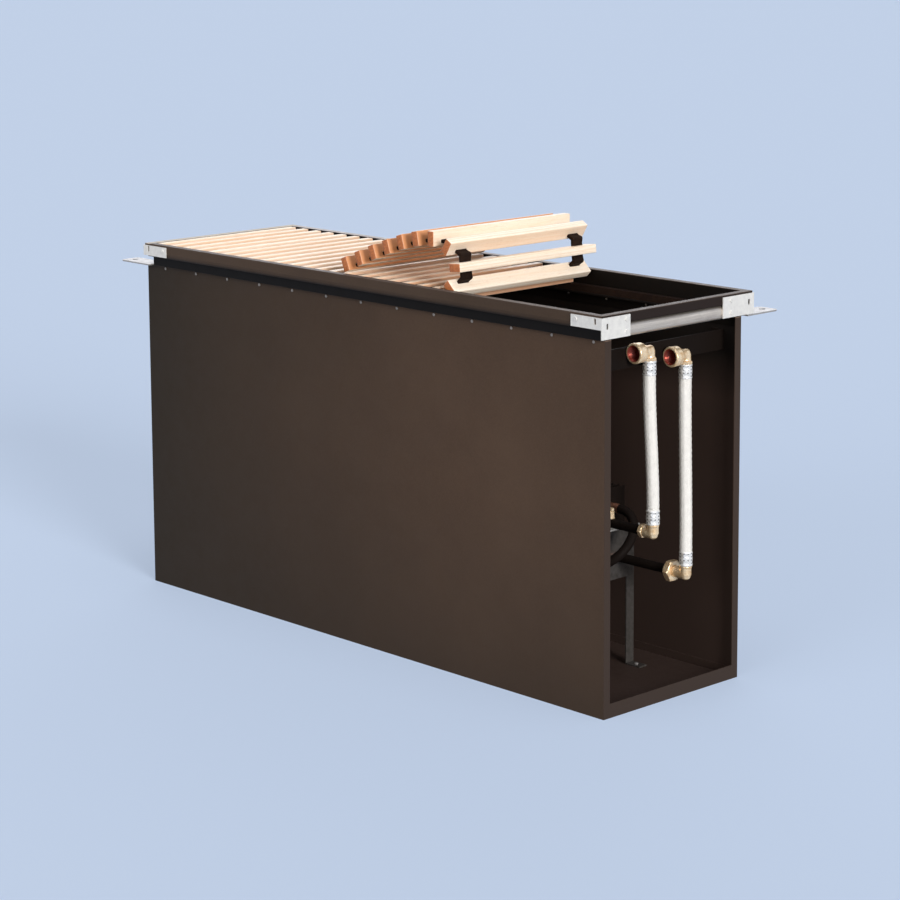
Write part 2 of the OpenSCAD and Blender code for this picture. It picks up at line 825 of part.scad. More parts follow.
module stud_nuts() {
  color(BRASS) each_upper() translate([bracket_x - stud_nut_h - hose_x, 0, 0]) difference() {
    rotate([0, 90, 0]) hex(14, stud_nut_h);
    translate([-1, 0, 0]) rod_x(stud_r, stud_nut_h + 2);
  }
}

casing_front_panel();
casing_rear_panel();
casing_floor();
casing_end_panel();
frame_front_rail();
frame_rear_rail();
frame_left_rail();
frame_right_rail();
frame_rivets();
end_crossbar();
corner_bracket_front_left();
corner_bracket_front_right();
corner_bracket_rear_left();
corner_bracket_rear_right();
frame_screws();
anchor_lug_left();
anchor_lug_right();
support_strips();
flat_slats();
belt_front();
belt_rear();
rolled_slat(1);  // rolled_slat_1
rolled_slat(2);  // rolled_slat_2
rolled_slat(3);  // rolled_slat_3
rolled_slat(4);  // rolled_slat_4
rolled_slat(5);  // rolled_slat_5
rolled_slat(6);  // rolled_slat_6
rolled_slat(7);  // rolled_slat_7
rolled_slat(8);  // rolled_slat_8
rolled_slat(9);  // rolled_slat_9
rolled_slat(10);  // rolled_slat_10
rolled_belt(1);  // belt_link_1
rolled_belt(2);  // belt_link_2
rolled_belt(3);  // belt_link_3
rolled_belt(4);  // belt_link_4
rolled_belt(5);  // belt_link_5
rolled_belt(6);  // belt_link_6
rolled_belt(7);  // belt_link_7
rolled_belt(8);  // belt_link_8
rolled_belt(9);  // belt_link_9
rolled_belt(10);  // belt_link_10
fin_block();
water_tubes();
return_bends();
exchanger_stand_near();
exchanger_stand_far();
stand_screws();
tail_pipes();
vent_body();
vent_screw();
union_nuts();
lower_elbows();
hose_ferrules();
hose_short();
hose_long();
collar_nuts();
upper_elbows();
connection_bracket();
stud_nuts();
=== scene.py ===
import math
import random

import bmesh
import bpy
from mathutils import Matrix, Vector


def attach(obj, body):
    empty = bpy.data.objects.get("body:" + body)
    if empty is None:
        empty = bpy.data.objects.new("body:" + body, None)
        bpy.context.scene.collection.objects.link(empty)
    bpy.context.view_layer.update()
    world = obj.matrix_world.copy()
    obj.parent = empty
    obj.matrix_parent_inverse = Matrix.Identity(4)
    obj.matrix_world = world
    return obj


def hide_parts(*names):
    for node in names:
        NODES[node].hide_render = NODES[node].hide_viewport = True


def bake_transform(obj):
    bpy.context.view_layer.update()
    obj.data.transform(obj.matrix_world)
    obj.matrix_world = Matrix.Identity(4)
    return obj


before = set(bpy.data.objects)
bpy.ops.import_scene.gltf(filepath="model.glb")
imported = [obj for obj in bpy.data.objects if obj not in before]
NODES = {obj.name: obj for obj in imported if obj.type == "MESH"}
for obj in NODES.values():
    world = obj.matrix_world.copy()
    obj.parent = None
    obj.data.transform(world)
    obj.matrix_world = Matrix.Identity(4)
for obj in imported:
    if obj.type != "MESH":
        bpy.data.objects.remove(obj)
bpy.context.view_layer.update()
MM = 0.001
random.seed(7)

# ---- sizes that the detailed pieces share with the CAD model, in millimetres ----

SLAT_T, SLAT_H, SLAT_L = 11.5, 20.0, 250.0
PITCH = 28.7
SLAT_X0 = -421.5
FLAT = 21
BELT_Z = 495.5
BELT_RISE = 4.0
BELT_W, BELT_T, BELT_Y = 18.0, 4.0, 102.0
BENDS = [45, 50, 54, 30.8, 12, 5, 2, 2, 1, 0.5]

HOSE_X = 436.0
HOSE_R = 8.1
UPPER = [(-30.5, 444.0), (35.9, 431.0)]
LOWER = [(-22.5, 214.0), (39.5, 150.0)]
UPPER_LEG, LOWER_LEG = 12.0, 11.0
FERRULE_L = 18.0
TUBE_R = 6.0
VENT_X, VENT_SEAT = 365, 16.8

FLOOR_HALF = 150.0  # metres
# The bar's top is painted dark between these heights, as shade and reflection of the dark rail.
BAR_PAINTED_SHADE = (0.4835, 0.4895)  # metres, heights between which the bar darkens
CRIMP_PITCH = 0.0042  # metres, from one row of crimps to the next

# ---- camera ----


def direction(azimuth, elevation):
    """Unit vector towards a place seen at these angles in degrees; 0, 0 is the front."""
    a, e = math.radians(azimuth), math.radians(elevation)
    return Vector((math.sin(a) * math.cos(e), -math.cos(a) * math.cos(e), math.sin(e)))


def make_camera():
    """Camera fitted to the photograph: focal length in pixels of a 900 px picture, degrees."""
    f, yaw, pitch, roll = 2625.7, 46.560, 8.598, -0.304
    r = math.radians(roll)
    back = direction(yaw, pitch)
    right = Vector((0, 0, 1)).cross(back).normalized()
    up = back.cross(right)
    right, up = right * math.cos(r) + up * math.sin(r), up * math.cos(r) - right * math.sin(r)
    data = bpy.data.cameras.new("camera")
    data.sensor_width = 36
    data.lens = f / 900 * 36
    data.shift_y = -0.2
    cam = bpy.data.objects.new("camera", data)
    m = Matrix((right, up, back)).transposed().to_4x4()
    m.translation = Vector((2.5630, -2.3800, 1.0230))
    cam.matrix_world = m
    bpy.context.scene.collection.objects.link(cam)
    bpy.context.scene.camera = cam


make_camera()

# ---- node graphs ----


class Graph:
    """A material's node tree, with each node made and wired in one call."""

    def __init__(self, name):
        self.mat = bpy.data.materials.new(name)
        self.mat.use_nodes = True
        self.tree = self.mat.node_tree
        self.shader = self.tree.nodes["Principled BSDF"]

    def node(self, kind, props=None, **ins):
        n = self.tree.nodes.new("ShaderNode" + kind)
        for key, value in (props or {}).items():
            setattr(n, key, value)
        for key, value in ins.items():
            self.put(n.inputs[key.replace("_", " ")], value)
        return n

    def put(self, socket, value):
        if isinstance(value, bpy.types.NodeSocket):
            self.tree.links.new(value, socket)
        elif isinstance(value, tuple) and len(value) == 3 and socket.type == "RGBA":
            socket.default_value = (*value, 1)
        else:
            socket.default_value = value

    def coords(self, attribute=None, scale=(1, 1, 1)):
        if attribute:
            src = self.node("Attribute", {"attribute_name": attribute}).outputs["Vector"]
        else:
            src = self.node("TexCoord").outputs["Object"]
        return self.node("Mapping", None, Vector=src, Scale=scale).outputs[0]

    def noise(self, co, scale, detail=4.0, rough=0.55, distortion=0.0):
        return self.node("TexNoise", None, Vector=co, Scale=scale, Detail=detail,
                         Roughness=rough, Distortion=distortion).outputs["Fac"]

    def math(self, op, a, b=0.0, clamp=False):
        n = self.node("Math", {"operation": op, "use_clamp": clamp})
        self.put(n.inputs[0], a)
        self.put(n.inputs[1], b)
        return n.outputs[0]

    def fit(self, value, lo, hi, to_lo=0.0, to_hi=1.0):
        n = self.node("MapRange", {"clamp": True}, Value=value)
        for i, v in enumerate((lo, hi, to_lo, to_hi)):
            self.put(n.inputs[i + 1], v)
        return n.outputs[0]

    def mix(self, fac, a, b, blend="MIX"):
        n = self.node("Mix", {"data_type": "RGBA", "blend_type": blend})
        self.put(n.inputs[0], fac)
        self.put(n.inputs[6], a)
        self.put(n.inputs[7], b)
        return n.outputs[2]

    def bump(self, height, strength, distance, normal=None):
        ins = {"Height": height, "Strength": strength, "Distance": distance}
        if normal:
            ins["Normal"] = normal
        return self.node("Bump", None, **ins).outputs[0]

    def rounded(self, radius):
        """Normal that rounds hard edges over this radius, in metres."""
        return self.node("Bevel", {"samples": 4}, Radius=radius).outputs[0]

    def edges(self, radius):
        """1 along hard outer and inner edges, 0 on flat faces."""
        n = self.node("VectorMath", {"operation": "DOT_PRODUCT"})
        self.put(n.inputs[0], self.rounded(radius))
        self.put(n.inputs[1], self.node("NewGeometry").outputs["Normal"])
        return self.fit(n.outputs["Value"], 0.995, 0.86)

    def finish(self, **ins):
        for key, value in ins.items():
            self.put(self.shader.inputs[key.replace("_", " ")], value)
        return self.mat


def srgb(r, g, b):
    return tuple(v / 12.92 if v <= 0.04045 else ((v + 0.055) / 1.055) ** 2.4
                 for v in (r / 255, g / 255, b / 255))


def powder_coat(name, colour, light, rough, specular, shade=None):
    """Baked powder coat: a fine pebbled skin, faint clouds and slightly rubbed edges.
    shade(graph, x, y, z) may return (mask, colour) pairs laid over the coat: painted shade, painted
    sheen and paler cut edges."""
    g = Graph(name)
    co = g.coords()
    clouds = g.noise(co, 6, 5, 0.6)
    pebble = g.noise(co, 900, 2, 0.5)
    rub = g.noise(co, 45, 6, 0.7)
    base = g.mix(g.fit(clouds, 0.3, 0.7), colour, light)
    base = g.mix(g.fit(pebble, 0.35, 0.75, 0, 0.35), base, tuple(c * 1.4 for c in light))
    wear = g.math("MULTIPLY", g.edges(0.0009), g.fit(rub, 0.35, 0.7, 0.1, 0.6))
    base = g.mix(wear, base, tuple(min(1, c * 2.6 + 0.01) for c in light))
    if shade:
        places = g.node("SeparateXYZ", None, Vector=co).outputs
        for mask, tint in shade(g, *places):
            base = g.mix(mask, base, tint)
    normal = g.bump(pebble, 0.16, 0.0004, g.rounded(0.0007))
    return g.finish(Base_Color=base, Roughness=g.fit(rub, 0.3, 0.75, rough - 0.05, rough + 0.1),
                    Specular_IOR_Level=specular, Normal=normal)


def casing_places(g, x, y, z):
    """Painted shade towards the far end, the floor, inside and on the open end's outer face; paler
    cut edges.
    """
    side = g.fit(g.math("ABSOLUTE", y), 0.1238, 0.1246, 1, 0)
    ends = g.math("MULTIPLY", g.fit(x, 0.4490, 0.4496, 1, 0), g.fit(x, -0.4496, -0.4490))
    # Painted shade, deepening towards the far end.
    yield g.fit(x, -0.45, 0.2, 0.9, 0), srgb(38, 31, 21)
    # Painted shade, deepening towards the floor.
    yield g.fit(z, 0.0, 0.25, 0.6, 0), srgb(44, 36, 28)
    # Painted shade inside the casing, deepest high up on the inner walls.
    inner = g.math("MULTIPLY", side, ends)
    yield inner, srgb(64, 51, 46)
    yield g.math("MULTIPLY", inner, g.fit(z, 0.36, 0.42)), srgb(24, 19, 16)
    # Painted shade on the outer face of the open end.
    yield g.fit(x, 0.4494, 0.4498, 0, 0.8), srgb(56, 46, 41)
    yield g.fit(z, 0.4684, 0.4692, 0, 0.8), srgb(128, 108, 96)


def frame_places(g, x, y, z):
    """Painted shade behind the frame's outer skin and on the outer face at the connection end,
    and a painted sheen on the top of the rim, palest along the rear and the closed end."""
    long = g.fit(g.math("ABSOLUTE", y), 0.1338, 0.1374, 1, 0)
    off = g.math("ABSOLUTE", g.math("SUBTRACT", x, 0.009))
    cross = g.fit(off, 0.4438, 0.4474, 1, 0)
    below = g.fit(z, 0.5010, 0.5016, 1, 0)
    # Painted shade on every face behind the outer skin, below the top.
    yield g.math("MULTIPLY", g.math("MULTIPLY", long, cross), below), srgb(17, 13, 10)
    # Painted shade on the outer face of the rail at the connection end.
    yield g.math("MULTIPLY", g.fit(x, 0.4560, 0.4566), below), srgb(40, 32, 29)
    # Painted sheen on the top of the rim, palest along the rear and at the closed end.
    top = g.fit(z, 0.5012, 0.5018)
    yield top, srgb(92, 81, 75)
    yield g.math("MULTIPLY", g.math("MULTIPLY", top, g.fit(y, 0.1270, 0.1276)),
                 g.fit(x, 0.10, 0.20, 1, 0)), srgb(184, 180, 182)
    yield g.math("MULTIPLY", top, g.fit(x, -0.4286, -0.4280, 1, 0)), srgb(192, 182, 170)


def zinc(name, light, dark, metallic, painted_highlight_from=None):
    """Zinc plate: rolling marks, soft mottling and a few fine scratches.
    Above a given height, in metres, it gets a pale painted highlight."""
    g = Graph(name)
    co = g.coords()
    mottle = g.noise(co, 180, 4, 0.6)
    rolled = g.noise(g.coords(scale=(60, 60, 2600)), 1, 3, 0.6)
    scratch = g.noise(g.coords(scale=(30, 1400, 400)), 1, 2, 0.9, 0.4)
    base = g.mix(g.fit(mottle, 0.3, 0.7), dark, light)
    base = g.mix(g.fit(scratch, 0.7, 0.8, 0, 0.3), base, tuple(c * 0.6 for c in dark))
    if painted_highlight_from:
        z = g.node("SeparateXYZ", None, Vector=co).outputs[2]
        # Pale painted highlight along the top edge.
        base = g.mix(g.fit(z, painted_highlight_from, painted_highlight_from + 0.0005), base, (0.6, 0.59, 0.57))
    rough = g.fit(g.math("ADD", mottle, rolled), 0.7, 1.3, 0.3, 0.5)
    normal = g.bump(rolled, 0.12, 0.0002, g.rounded(0.0004))
    return g.finish(Base_Color=base, Metallic=metallic, Roughness=rough, Normal=normal)


def drawn_steel(name):
    """Satin drawn bar: long streaks along Y, a warm grey film, and painted shade and dark
    reflection along its top.
    """
    g = Graph(name)
    streak = g.noise(g.coords(scale=(2600, 14, 2600)), 1, 3, 0.6)
    film = g.noise(g.coords(scale=(60, 25, 60)), 1, 5, 0.65)
    base = g.mix(g.fit(streak, 0.3, 0.7), (0.46, 0.40, 0.34), (0.84, 0.75, 0.65))
    base = g.mix(g.fit(film, 0.5, 0.75, 0, 0.5), base, (0.36, 0.31, 0.27))
    z = g.node("SeparateXYZ", None, Vector=g.coords()).outputs[2]
    # Painted shade and dark reflection along the bar's top.
    base = g.mix(g.fit(z, *BAR_PAINTED_SHADE, 0, 0.92), base, (0.035, 0.028, 0.025))
    normal = g.bump(streak, 0.2, 0.0002, g.rounded(0.0004))
    return g.finish(Base_Color=base, Metallic=0.7,
                    Roughness=g.fit(film, 0.3, 0.7, 0.34, 0.52), Normal=normal)


def beech(name):
    """Lacquered beech. grain_co holds each slat's own coordinates, tone its shade, partly
    random tone and partly painted shade and light, and depth the painted shade on its sides."""
    g = Graph(name)
    attribute = g.node("Attribute", {"attribute_name": "tone"}).outputs["Fac"]
    long = g.coords("grain_co", (190, 5, 190))
    rings = g.noise(long, 1, 3, 0.5, 1.2)
    wave = g.node("TexWave", {"bands_direction": "X"}, Vector=g.coords("grain_co", (1, 0.03, 0.4)),
                  Scale=75.0, Distortion=6.0, Detail=3.0, Detail_Scale=1.2).outputs["Fac"]
    fleck = g.node("TexVoronoi", {"feature": "F1"}, Vector=g.coords("grain_co", (900, 170, 900)),
                   Scale=1.0, Randomness=1.0).outputs["Distance"]
    pores = g.noise(g.coords("grain_co", (1500, 60, 1500)), 1, 2, 0.6)
    light, mid, dark = srgb(255, 245, 231), srgb(253, 234, 212), srgb(226, 182, 138)
    base = g.mix(g.fit(rings, 0.3, 0.72), light, mid)
    base = g.mix(g.fit(wave, 0.45, 0.95, 0, 0.3), base, dark)
    base = g.mix(g.fit(fleck, 0.0, 0.26, 0.45, 0.0), base, srgb(206, 152, 104))
    base = g.mix(g.fit(pores, 0.56, 0.72, 0, 0.3), base, srgb(198, 144, 98))
    base = g.mix(g.fit(attribute, 0, 1.4, 0.0, 0.4), base, srgb(232, 186, 138))
    depth = g.node("Attribute", {"attribute_name": "depth"}).outputs["Fac"]
    # Painted shade on the slats' sides, from the depth attribute.
    base = g.mix(depth, base, srgb(208, 138, 88))
    facing = g.node("SeparateXYZ", None, Vector=g.node("NewGeometry").outputs["Normal"]).outputs[1]
    ends = g.fit(g.math("ABSOLUTE", facing), 0.55, 0.95)
    cut = g.noise(g.coords("grain_co", (420, 420, 420)), 1, 4, 0.65)
    base = g.mix(ends, base, g.mix(g.fit(cut, 0.35, 0.7), srgb(204, 124, 70), srgb(154, 84, 42)))
    height = g.math("SUBTRACT", g.math("MULTIPLY", wave, 0.4), g.math("MULTIPLY", pores, 0.8))
    return g.finish(Base_Color=base, Roughness=g.fit(pores, 0.35, 0.7, 0.38, 0.55),
                    Specular_IOR_Level=0.45, Coat_Weight=0.12, Coat_Roughness=0.3,
                    Normal=g.bump(height, 0.18, 0.0003))


def rubber(name):
    """Matt black belt: fine fabric-like moulding, chalky dust on the wide faces."""
    g = Graph(name)
    co = g.coords()
    fine = g.noise(co, 1600, 3, 0.6)
    dust = g.noise(co, 90, 6, 0.7)
    base = g.mix(g.fit(dust, 0.42, 0.75, 0, 0.6), (0.012, 0.006, 0.004), (0.03, 0.016, 0.01))
    return g.finish(Base_Color=base, Roughness=g.fit(dust, 0.3, 0.7, 0.6, 0.8),
                    Specular_IOR_Level=0.08,
                    Normal=g.bump(fine, 0.3, 0.0003))


def copper(name):
    """Drawn copper tube, browned in clouds."""
    g = Graph(name)
    cloud = g.noise(g.coords(), 40, 6, 0.7)
    drawn = g.noise(g.coords(scale=(12, 1500, 1500)), 1, 2, 0.6)
    base = g.mix(g.fit(cloud, 0.35, 0.7), (0.78, 0.38, 0.24), (0.36, 0.15, 0.09))
    return g.finish(Base_Color=base, Metallic=0.95,
                    Roughness=g.fit(cloud, 0.3, 0.7, 0.25, 0.5),
                    Normal=g.bump(drawn, 0.2, 0.0002))


def brass(name, warm):
    """Turned and cast brass: tool rings, a sandy skin and brown film in the hollows."""
    g = Graph(name)
    co = g.coords()
    sand = g.noise(co, 900, 3, 0.6)
    film = g.noise(co, 150, 5, 0.7)
    rings = g.noise(g.coords(scale=(300, 2600, 300)), 1, 1, 0.4)
    light, dark = ((0.36, 0.055, 0.03), (0.13, 0.02, 0.012)) if warm else \
        ((1.0, 0.80, 0.54), (0.62, 0.36, 0.15))
    base = g.mix(g.fit(film, 0.38, 0.72), light, dark)
    height = g.math("ADD", g.math("MULTIPLY", sand, 0.5), g.math("MULTIPLY", rings, 0.5))
    return g.finish(Base_Color=base, Metallic=0.55, Roughness=g.fit(film, 0.3, 0.75, 0.2, 0.42),
                    Normal=g.bump(height, 0.25, 0.0003))


def braid_wire(name):
    """Strand of a woven hose: five bright wires side by side, after the u coordinate, with painted
    shade between them.
    """
    g = Graph(name)
    uv = g.node("UVMap", {"uv_map": "UVMap"}).outputs[0]
    across = g.node("SeparateXYZ", None, Vector=uv).outputs[0]
    phase = g.math("MULTIPLY", across, 5 * 2 * math.pi)
    wires = g.math("ABSOLUTE", g.math("SINE", g.math("MULTIPLY", phase, 0.5)))
    # Painted shade in the grooves between the wires.
    painted_gap_shade = g.fit(wires, 0.0, 0.45, 0.75, 0.0)
    stain = g.noise(g.coords(), 120, 4, 0.6)
    base = g.mix(g.fit(stain, 0.35, 0.75), (0.98, 0.97, 0.95), (0.88, 0.87, 0.85))
    base = g.mix(painted_gap_shade, base, (0.6, 0.58, 0.56))
    return g.finish(Base_Color=base, Metallic=0.05, Roughness=0.36,
                    Normal=g.bump(wires, 0.7, 0.0003))


def sleeve_steel(name):
    """Bright crimped sleeve with painted shade in the crimps."""
    g = Graph(name)
    film = g.noise(g.coords(), 260, 5, 0.7)
    turned = g.noise(g.coords(scale=(200, 200, 3200)), 1, 1, 0.4)
    base = g.mix(g.fit(film, 0.4, 0.75), (0.95, 0.94, 0.92), (0.7, 0.69, 0.67))
    x, y, _ = g.node("SeparateXYZ", None, Vector=g.node("NewGeometry").outputs["Normal"]).outputs
    turn = g.math("SINE", g.math("MULTIPLY", g.math("ARCTAN2", y, x), 10.0))
    height = g.node("SeparateXYZ", None, Vector=g.coords()).outputs[2]
    rows = g.math("SINE", g.math("MULTIPLY", height, 2 * math.pi / CRIMP_PITCH))
    # Painted shade in the crimp dents.
    painted_crimp_shade = g.math("MULTIPLY", g.fit(turn, 0.1, 0.5), g.fit(rows, 0.1, 0.5, 0, 0.85))
    base = g.mix(painted_crimp_shade, base, (0.1, 0.095, 0.09))
    return g.finish(Base_Color=base, Metallic=0.45, Roughness=g.fit(film, 0.3, 0.7, 0.22, 0.4),
                    Normal=g.bump(turned, 0.15, 0.0002, g.rounded(0.0003)))


CASING = powder_coat("casing coat", srgb(72, 56, 45), srgb(83, 66, 54), 0.5, 0.14, casing_places)
FRAME = powder_coat("frame coat", srgb(66, 54, 46), srgb(78, 65, 56), 0.48, 0.09, frame_places)
BLACK = powder_coat("black coat", srgb(19, 14, 12), srgb(26, 20, 17), 0.6, 0.05)
ZINC = zinc("zinc plate", (0.86, 0.85, 0.82), (0.75, 0.74, 0.72), 0.3)
DULL_ZINC = zinc("dull zinc", (0.43, 0.41, 0.40), (0.35, 0.33, 0.32), 0.5)
RIVET = zinc("rivet steel", (0.30, 0.27, 0.25), (0.2, 0.18, 0.165), 0.4)
# Zinc painted dark as shade, with a painted highlight along the stand's top edge.
SHADED_ZINC = zinc("shaded zinc", (0.10, 0.09, 0.085), (0.06, 0.055, 0.05), 0.4, 0.1875)
BAR = drawn_steel("drawn steel")
WOOD = beech("lacquered beech")
RUBBER = rubber("belt rubber")
COPPER = copper("copper tube")
BRASS = brass("cast brass", False)
SOCKET = brass("socket inside", True)
BRAID = braid_wire("braid wire")
SLEEVE = sleeve_steel("sleeve steel")
LINER = rubber("hose liner")

CARRIED = {
    CASING: ["casing_front_panel", "casing_rear_panel", "casing_floor", "casing_end_panel"],
    FRAME: ["frame_front_rail", "frame_rear_rail", "frame_left_rail", "frame_right_rail"],
    ZINC: ["corner_bracket_front_left", "corner_bracket_front_right",
           "corner_bracket_rear_left", "corner_bracket_rear_right", "frame_screws"],
    DULL_ZINC: ["anchor_lug_left", "anchor_lug_right", "stand_screws"],
    RIVET: ["frame_rivets"],
    SHADED_ZINC: ["exchanger_stand_near", "exchanger_stand_far"],
    BAR: ["end_crossbar"],
    RUBBER: ["support_strips"],
    COPPER: ["water_tubes"],
    BLACK: ["fin_block", "return_bends", "tail_pipes", "connection_bracket"],
}
for material, names in CARRIED.items():
    for name in names:
        for slot in NODES[name].material_slots:
            slot.material = material

# ---- mesh building ----


def new_object(name, verts, faces, material, smooth=True):
    """Object from millimetre points, in the row frame."""
    mesh = bpy.data.meshes.new(name)
    mesh.from_pydata([tuple(c * MM for c in v) for v in verts], [], faces)
    mesh.materials.append(material)
    mesh.polygons.foreach_set("use_smooth", [smooth] * len(mesh.polygons))
    mesh.update()
    obj = bpy.data.objects.new(name, mesh)
    bpy.context.scene.collection.objects.link(obj)
    return obj


def outwards(obj):
    bm = bmesh.new()
    bm.from_mesh(obj.data)
    bmesh.ops.remove_doubles(bm, verts=bm.verts, dist=1e-7)
    bmesh.ops.recalc_face_normals(bm, faces=bm.faces)
    bm.to_mesh(obj.data)
    bm.free()


def modify(obj, kind, **settings):
    """Adds one modifier and applies it."""
    m = obj.modifiers.new("m", kind)
    for key, value in settings.items():
        setattr(m, key, value)
    dg = bpy.context.evaluated_depsgraph_get()
    mesh = bpy.data.meshes.new_from_object(obj.evaluated_get(dg))
    obj.modifiers.clear()
    old = obj.data
    obj.data = mesh
    bpy.data.meshes.remove(old)
    return obj


def box_mesh(name, size, centre, material):
    x, y, z = (s / 2 for s in size)
    cx, cy, cz = centre
    verts = [(cx + a * x, cy + b * y, cz + c * z)
             for a in (-1, 1) for b in (-1, 1) for c in (-1, 1)]
    faces = [(0, 1, 3, 2), (4, 6, 7, 5), (0, 4, 5, 1), (2, 3, 7, 6), (0, 2, 6, 4), (1, 5, 7, 3)]
    obj = new_object(name, verts, faces, material)
    outwards(obj)
    return obj


def join(name, objects):
    """One object out of several meshes that are already in place."""
    bm = bmesh.new()
    materials = []
    for o in objects:
        remap = []
        for m in o.data.materials:
            if m not in materials:
                materials.append(m)
            remap.append(materials.index(m))
        first = len(bm.faces)
        o.data.transform(o.matrix_world)
        bm.from_mesh(o.data)
        bm.faces.ensure_lookup_table()
        for f in bm.faces[first:]:
            f.material_index = remap[f.material_index] if remap else 0
    mesh = bpy.data.meshes.new(name)
    bm.to_mesh(mesh)
    bm.free()
    for m in materials:
        mesh.materials.append(m)
    for o in objects:
        bpy.data.objects.remove(o)
    obj = bpy.data.objects.new(name, mesh)
    bpy.context.scene.collection.objects.link(obj)
    return obj


def lathe(name, profile, material, steps=64, radius_at=None):
    """Closed shell of revolution about +Z. profile: (radius, z) points, open or closed.
    radius_at(radius, angle, z) may change the radius."""
    verts, faces = [], []
    n = len(profile)
    for i in range(steps):
        a = 2 * math.pi * i / steps
        for r, z in profile:
            rr = radius_at(r, a, z) if radius_at else r
            verts.append((rr * math.cos(a), rr * math.sin(a), z))
    for i in range(steps):
        j = (i + 1) % steps
        for k in range(n):
            m = (k + 1) % n
            faces.append((i * n + k, j * n + k, j * n + m, i * n + m))
    obj = new_object(name, verts, faces, material)
    outwards(obj)
    return obj


def put(obj, pos, axis="Z"):
    """Turns a piece built about +Z so that +Z becomes axis, moves it, and fixes both."""
    turn = {"Z": Matrix.Identity(4), "X": Matrix.Rotation(math.pi / 2, 4, "Y"),
            "-X": Matrix.Rotation(-math.pi / 2, 4, "Y"),
            "-Y": Matrix.Rotation(math.pi / 2, 4, "X"),
            "-Z": Matrix.Rotation(math.pi, 4, "X")}[axis]
    obj.data.transform(Matrix.Translation(Vector(pos) * MM) @ turn)
    return obj


def soften(obj, angle=32):
    """Smooth shading with hard edges above this angle."""
    mesh = obj.data
    mesh.polygons.foreach_set("use_smooth", [True] * len(mesh.polygons))
    mesh.set_sharp_from_angle(angle=math.radians(angle))
    return obj


# ---- grille ----


def slat_master():
    """Rounded slat with its two belt slots, its belt line on the origin."""
    slat = box_mesh("slat", (SLAT_T, SLAT_L, SLAT_H), (0, 0, -BELT_RISE), WOOD)
    modify(slat, "BEVEL", width=1.3 * MM, segments=4, limit_method="ANGLE")
    for side in (-1, 1):
        slot = box_mesh("slot", (SLAT_T + 6, BELT_W + 1.6, BELT_T + 1.2),
                        (0, side * BELT_Y, 0), WOOD)
        modify(slot, "BEVEL", width=1.2 * MM, segments=3, limit_method="ANGLE")
        modify(slat, "BOOLEAN", operation="DIFFERENCE", object=slot, solver="EXACT")
        bpy.data.objects.remove(slot)
    return soften(slat)


MASTER = slat_master()


def slat_at(name, matrix, number, painted_side_shade):
    """Copy of the slat with its own stretch of grain and its own shade, partly random tone and
    partly painted shade and light. A slat that lies flat gets painted shade on both sides, a rolled
    one on its left side."""
    mesh = MASTER.data.copy()
    rng = random.Random(100 + number)
    offset = Vector((rng.uniform(-3, 3), rng.uniform(-3, 3), rng.uniform(-3, 3)))
    mesh.attributes.new("grain_co", "FLOAT_VECTOR", "POINT")
    mesh.attributes.new("tone", "FLOAT", "POINT")
    mesh.attributes.new("depth", "FLOAT", "FACE")
    lies_flat = number < FLAT
    shade = rng.uniform(0, 1) ** 1.5
    # Flat slats are offset darker and rolled ones paler: painted shade and light over the random
    # tone.
    shade = shade + 0.3 if lies_flat else shade * 0.5
    own = [c for v in mesh.vertices for c in v.co + offset]
    mesh.attributes["grain_co"].data.foreach_set("vector", own)
    mesh.attributes["tone"].data.foreach_set("value", [shade] * len(mesh.vertices))
    # The faces that carry the painted side shade.
    sides = [p.normal.x < -0.7 or lies_flat and p.normal.x > 0.7 for p in mesh.polygons]
    mesh.attributes["depth"].data.foreach_set("value", [painted_side_shade * side for side in sides])
    mesh.transform(matrix)
    obj = bpy.data.objects.new(name, mesh)
    bpy.context.scene.collection.objects.link(obj)
    return obj


def link_frames():
    """Places of the slats at and after the last flat one: (centre, rotation) on the belt line."""
    point = Vector((SLAT_X0 + (FLAT - 0.5) * PITCH, 0, BELT_Z))
    places = [(point - Vector((PITCH / 2, 0, 0)), Matrix.Identity(3))]
    angle = 0
    for bend in BENDS:
        angle += bend
        rot = Matrix.Rotation(-math.radians(angle), 3, "Y")
        step = rot @ Vector((PITCH, 0, 0))
        places.append((point + step / 2, rot))
        point = point + step
    return places


LINKS = link_frames()


def grille_slats():
    flat = []
    for i in range(FLAT):
        at = Vector((SLAT_X0 + i * PITCH, 0, BELT_Z)) * MM
        # Flat slats get painted side shade, deepest near the roll.
        flat.append(slat_at("flat_%d" % i, Matrix.Translation(at), i, 0.25 + 0.5 * (i / FLAT) ** 2))
    row = join("wood_flat_slats", flat)
    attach(row, "heater")
    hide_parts("flat_slats")
    for k in range(1, 11):
        centre, rot = LINKS[k]
        # Rolled slats deep in the roll get heavy painted side shade, the rest little.
        slat = slat_at("wood_slat_%d" % k, Matrix.Translation(centre * MM) @ rot.to_4x4(), 40 + k,
                       0.95 if k > 4 else 0.1)
        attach(slat, "slat_%d" % k)
        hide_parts("rolled_slat_%d" % k)
    bpy.data.objects.remove(MASTER)


def belt_section():
    """Outline of the belt across its run: (sideways, up) points with rounded edges."""
    w, t, r = BELT_W / 2, BELT_T / 2, 0.9
    corners = [(w - r, t - r, 0), (-w + r, t - r, 90), (-w + r, -t + r, 180), (w - r, -t + r, 270)]
    points = []
    for cy, cz, start in corners:
        for i in range(5):
            a = math.radians(start + 90 * i / 4)
            points.append((cy + r * math.cos(a), cz + r * math.sin(a)))
        if start in (0, 180):
            sign = 1 if start == 0 else -1
            points += [(sign * (w - r) * s, sign * t) for s in (0.6, 0.2, -0.2, -0.6)]
    return points


